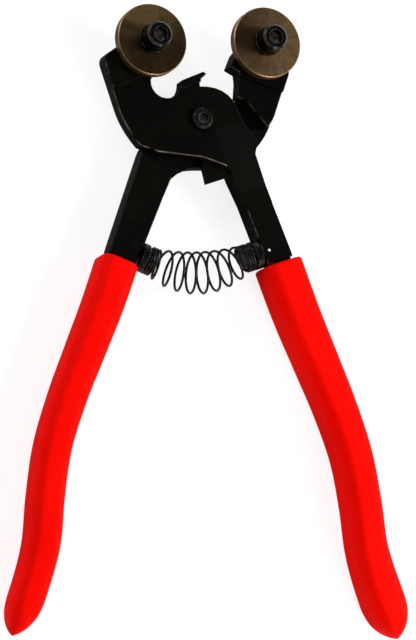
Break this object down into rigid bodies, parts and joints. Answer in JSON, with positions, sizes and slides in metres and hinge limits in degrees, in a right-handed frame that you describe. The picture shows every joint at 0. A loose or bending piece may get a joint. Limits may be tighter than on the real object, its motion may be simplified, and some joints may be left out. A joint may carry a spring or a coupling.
{
  "type": "wheeled mosaic glass nippers",
  "caption": "Wheeled hand nippers with lapped forged halves, disc cutters on socket screws, a coil return spring and dipped vinyl grips, shown open.",
  "frame": {"origin": "on the pivot axis, at the flush end face of the pivot screw, in the plane that the tool lies on", "axes": "+Y from the grips to the wheels, +Z through the thickness towards the wheel side, +X towards the right jaw"},
  "size_m": [0.1234, 0.1871, 0.0224],
  "materials": {
    "forged_steel": "black oxidised forging",
    "wheel_carbide": "ground, brownish grey",
    "black_hardware": "gloss black oxide",
    "pivot_hardware": "black oxide",
    "bright_pin": "bright",
    "spring_wire": "black spring wire",
    "red_vinyl": "smooth dipped vinyl"
  },
  "bodies": {
    "rear": {"rear_half": "forged_steel", "right_wheel_washer": "black_hardware", "right_wheel_screw": "black_hardware", "pivot_screw": "pivot_hardware", "pivot_washer": "pivot_hardware", "pivot_nut": "pivot_hardware", "left_spring_stud": "black_hardware", "left_stud_pin": "bright_pin", "return_spring": "spring_wire", "left_grip": "red_vinyl"},
    "front": {"front_half": "forged_steel", "left_wheel_washer": "black_hardware", "left_wheel_screw": "black_hardware", "right_spring_stud": "black_hardware", "right_stud_pin": "bright_pin", "right_grip": "red_vinyl"},
    "left_disc": {"left_wheel": "wheel_carbide"},
    "right_disc": {"right_wheel": "wheel_carbide"}
  },
  "joints": [
    {"name": "handle_pivot", "type": "hinge", "parent": "rear", "child": "front", "pos_m": [0, 0, 0.009], "axis": [0, 0, -1], "range_deg": [0, 34.1], "stiffness_Nm_per_rad": 0.8, "springref_deg": -2.86, "deforming": ["return_spring"]},
    {"name": "left_wheel_spin", "type": "hinge", "parent": "front", "child": "left_disc", "pos_m": [-0.0165, 0.0218, 0.01445], "axis": [0, 0, 1], "continuous": true},
    {"name": "right_wheel_spin", "type": "hinge", "parent": "rear", "child": "right_disc", "pos_m": [0.0203, 0.0241, 0.01445], "axis": [0, 0, 1], "continuous": true}
  ]
}
